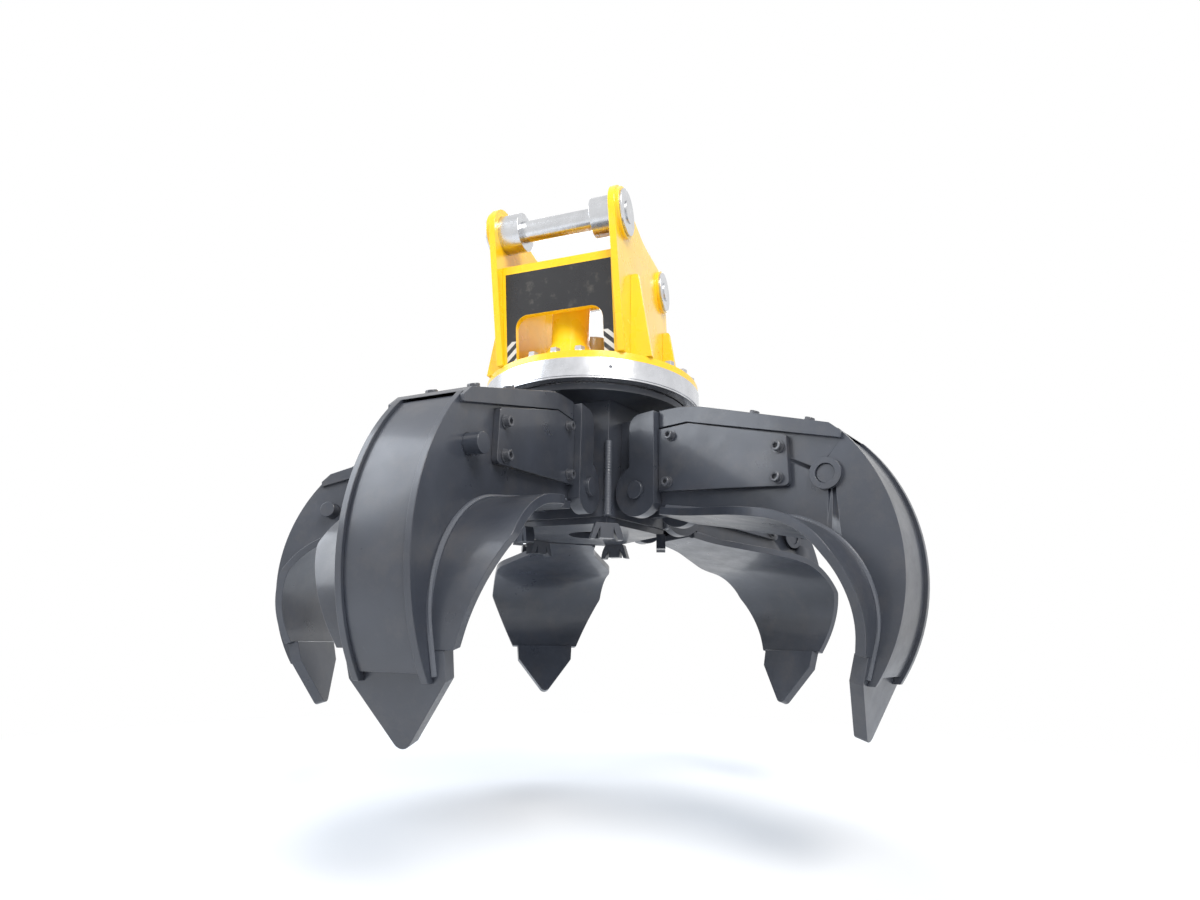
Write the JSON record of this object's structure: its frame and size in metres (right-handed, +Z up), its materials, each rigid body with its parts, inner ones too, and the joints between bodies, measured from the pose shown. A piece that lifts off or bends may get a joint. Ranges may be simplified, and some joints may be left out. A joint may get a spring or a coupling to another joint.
{
  "type": "orange peel grapple",
  "caption": "Hydraulic orange-peel grapple for an excavator: two-pin head, continuous slew ring and curved box-section tines with enclosed cylinders.",
  "frame": {"origin": "centre of the stick pin", "axes": "+X along the head pins, +Y from the stick pin to the link pin, +Z up"},
  "size_m": [2.0187, 1.9645, 1.6269],
  "materials": {
    "head_paint": "gloss",
    "tine_paint": "gloss",
    "bare_steel": "satin",
    "rod_chrome": "polished"
  },
  "bodies": {
    "head": {"slew_motor": "head_paint", "head_side_plates": "head_paint", "head_front_plate": "head_paint", "head_rear_plate": "head_paint", "head_gussets": "head_paint", "head_base_flange": "head_paint", "pin_bushes": "bare_steel", "stick_pin": "bare_steel", "link_pin": "bare_steel", "slew_outer_ring": "bare_steel", "flange_bolts": "bare_steel", "swivel_housing": "bare_steel"},
    "pinion": {"slew_pinion": "bare_steel"},
    "rotor": {"slew_inner_ring": "bare_steel", "swivel_spindle": "bare_steel", "rotor_top_plate": "tine_paint", "rotor_column": "tine_paint", "rotor_lugs": "tine_paint", "rotor_foot": "tine_paint", "cylinder_base_pins": "tine_paint"},
    "tine_a": {"tine_a_side_plates": "tine_paint", "tine_a_back_plate": "tine_paint", "tine_a_blade": "tine_paint", "tine_a_tip": "tine_paint", "tine_a_covers": "tine_paint", "tine_a_pins": "tine_paint"},
    "barrel_a": {"tine_a_cylinder_barrel": "tine_paint"},
    "rod_a": {"tine_a_cylinder_rod": "rod_chrome"},
    "tine_b": {"tine_b_side_plates": "tine_paint", "tine_b_back_plate": "tine_paint", "tine_b_blade": "tine_paint", "tine_b_tip": "tine_paint", "tine_b_covers": "tine_paint", "tine_b_pins": "tine_paint"},
    "barrel_b": {"tine_b_cylinder_barrel": "tine_paint"},
    "rod_b": {"tine_b_cylinder_rod": "rod_chrome"},
    "tine_c": {"tine_c_side_plates": "tine_paint", "tine_c_back_plate": "tine_paint", "tine_c_blade": "tine_paint", "tine_c_tip": "tine_paint", "tine_c_covers": "tine_paint", "tine_c_pins": "tine_paint"},
    "barrel_c": {"tine_c_cylinder_barrel": "tine_paint"},
    "rod_c": {"tine_c_cylinder_rod": "rod_chrome"},
    "tine_d": {"tine_d_side_plates": "tine_paint", "tine_d_back_plate": "tine_paint", "tine_d_blade": "tine_paint", "tine_d_tip": "tine_paint", "tine_d_covers": "tine_paint", "tine_d_pins": "tine_paint"},
    "barrel_d": {"tine_d_cylinder_barrel": "tine_paint"},
    "rod_d": {"tine_d_cylinder_rod": "rod_chrome"},
    "tine_e": {"tine_e_side_plates": "tine_paint", "tine_e_back_plate": "tine_paint", "tine_e_blade": "tine_paint", "tine_e_tip": "tine_paint", "tine_e_covers": "tine_paint", "tine_e_pins": "tine_paint"},
    "barrel_e": {"tine_e_cylinder_barrel": "tine_paint"},
    "rod_e": {"tine_e_cylinder_rod": "rod_chrome"}
  },
  "joints": [
    {"name": "slew", "type": "hinge", "parent": "head", "child": "rotor", "pos_m": [0, 0.36, -0.55], "axis": [0, 0, 1], "continuous": true},
    {"name": "pinion_spin", "type": "hinge", "parent": "head", "child": "pinion", "pos_m": [0, 0.132, -0.55], "axis": [0, 0, 1], "continuous": true},
    {"name": "tine_a_swing", "type": "hinge", "parent": "rotor", "child": "tine_a", "pos_m": [0.19412, 0.59135, -0.886], "axis": [-0.766, 0.6428, 0], "range_deg": [0, 57]},
    {"name": "barrel_a_swing", "type": "hinge", "parent": "rotor", "child": "barrel_a", "pos_m": [0.19412, 0.59135, -0.686], "axis": [-0.766, 0.6428, 0], "range_deg": [0, 47]},
    {"name": "rod_a_swing", "type": "hinge", "parent": "tine_a", "child": "rod_a", "pos_m": [0.56051, 1.02799, -0.915], "axis": [-0.766, 0.6428, 0], "range_deg": [-11, 0]},
    {"name": "tine_b_swing", "type": "hinge", "parent": "rotor", "child": "tine_b", "pos_m": [-0.16004, 0.61611, -0.886], "axis": [-0.848, -0.5299, 0], "range_deg": [0, 57]},
    {"name": "barrel_b_swing", "type": "hinge", "parent": "rotor", "child": "barrel_b", "pos_m": [-0.16004, 0.61611, -0.686], "axis": [-0.848, -0.5299, 0], "range_deg": [0, 47]},
    {"name": "rod_b_swing", "type": "hinge", "parent": "tine_b", "child": "rod_b", "pos_m": [-0.46209, 1.0995, -0.915], "axis": [-0.848, -0.5299, 0], "range_deg": [-11, 0]},
    {"name": "tine_c_swing", "type": "hinge", "parent": "rotor", "child": "tine_c", "pos_m": [-0.29303, 0.28694, -0.886], "axis": [0.2419, -0.9703, 0], "range_deg": [0, 57]},
    {"name": "barrel_c_swing", "type": "hinge", "parent": "rotor", "child": "barrel_c", "pos_m": [-0.29303, 0.28694, -0.686], "axis": [0.2419, -0.9703, 0], "range_deg": [0, 47]},
    {"name": "rod_c_swing", "type": "hinge", "parent": "tine_c", "child": "rod_c", "pos_m": [-0.8461, 0.14904, -0.915], "axis": [0.2419, -0.9703, 0], "range_deg": [-11, 0]},
    {"name": "tine_d_swing", "type": "hinge", "parent": "rotor", "child": "tine_d", "pos_m": [-0.02107, 0.05874, -0.886], "axis": [0.9976, -0.0698, 0], "range_deg": [0, 57]},
    {"name": "barrel_d_swing", "type": "hinge", "parent": "rotor", "child": "barrel_d", "pos_m": [-0.02107, 0.05874, -0.686], "axis": [0.9976, -0.0698, 0], "range_deg": [0, 47]},
    {"name": "rod_d_swing", "type": "hinge", "parent": "tine_d", "child": "rod_d", "pos_m": [-0.06083, -0.50988, -0.915], "axis": [0.9976, -0.0698, 0], "range_deg": [-11, 0]},
    {"name": "tine_e_swing", "type": "hinge", "parent": "rotor", "child": "tine_e", "pos_m": [0.28001, 0.24687, -0.886], "axis": [0.3746, 0.9272, 0], "range_deg": [0, 57]},
    {"name": "barrel_e_swing", "type": "hinge", "parent": "rotor", "child": "barrel_e", "pos_m": [0.28001, 0.24687, -0.686], "axis": [0.3746, 0.9272, 0], "range_deg": [0, 47]},
    {"name": "rod_e_swing", "type": "hinge", "parent": "tine_e", "child": "rod_e", "pos_m": [0.8085, 0.03334, -0.915], "axis": [0.3746, 0.9272, 0], "range_deg": [-11, 0]}
  ],
  "couplings": [
    {"joint": "pinion_spin", "follows": "slew", "ratio": 6.4286},
    {"joint": "barrel_a_swing", "follows": "tine_a_swing", "ratio": 0.812},
    {"joint": "rod_a_swing", "follows": "tine_a_swing", "ratio": -0.188},
    {"joint": "barrel_b_swing", "follows": "tine_b_swing", "ratio": 0.812},
    {"joint": "rod_b_swing", "follows": "tine_b_swing", "ratio": -0.188},
    {"joint": "barrel_c_swing", "follows": "tine_c_swing", "ratio": 0.812},
    {"joint": "rod_c_swing", "follows": "tine_c_swing", "ratio": -0.188},
    {"joint": "barrel_d_swing", "follows": "tine_d_swing", "ratio": 0.812},
    {"joint": "rod_d_swing", "follows": "tine_d_swing", "ratio": -0.188},
    {"joint": "barrel_e_swing", "follows": "tine_e_swing", "ratio": 0.812},
    {"joint": "rod_e_swing", "follows": "tine_e_swing", "ratio": -0.188}
  ]
}
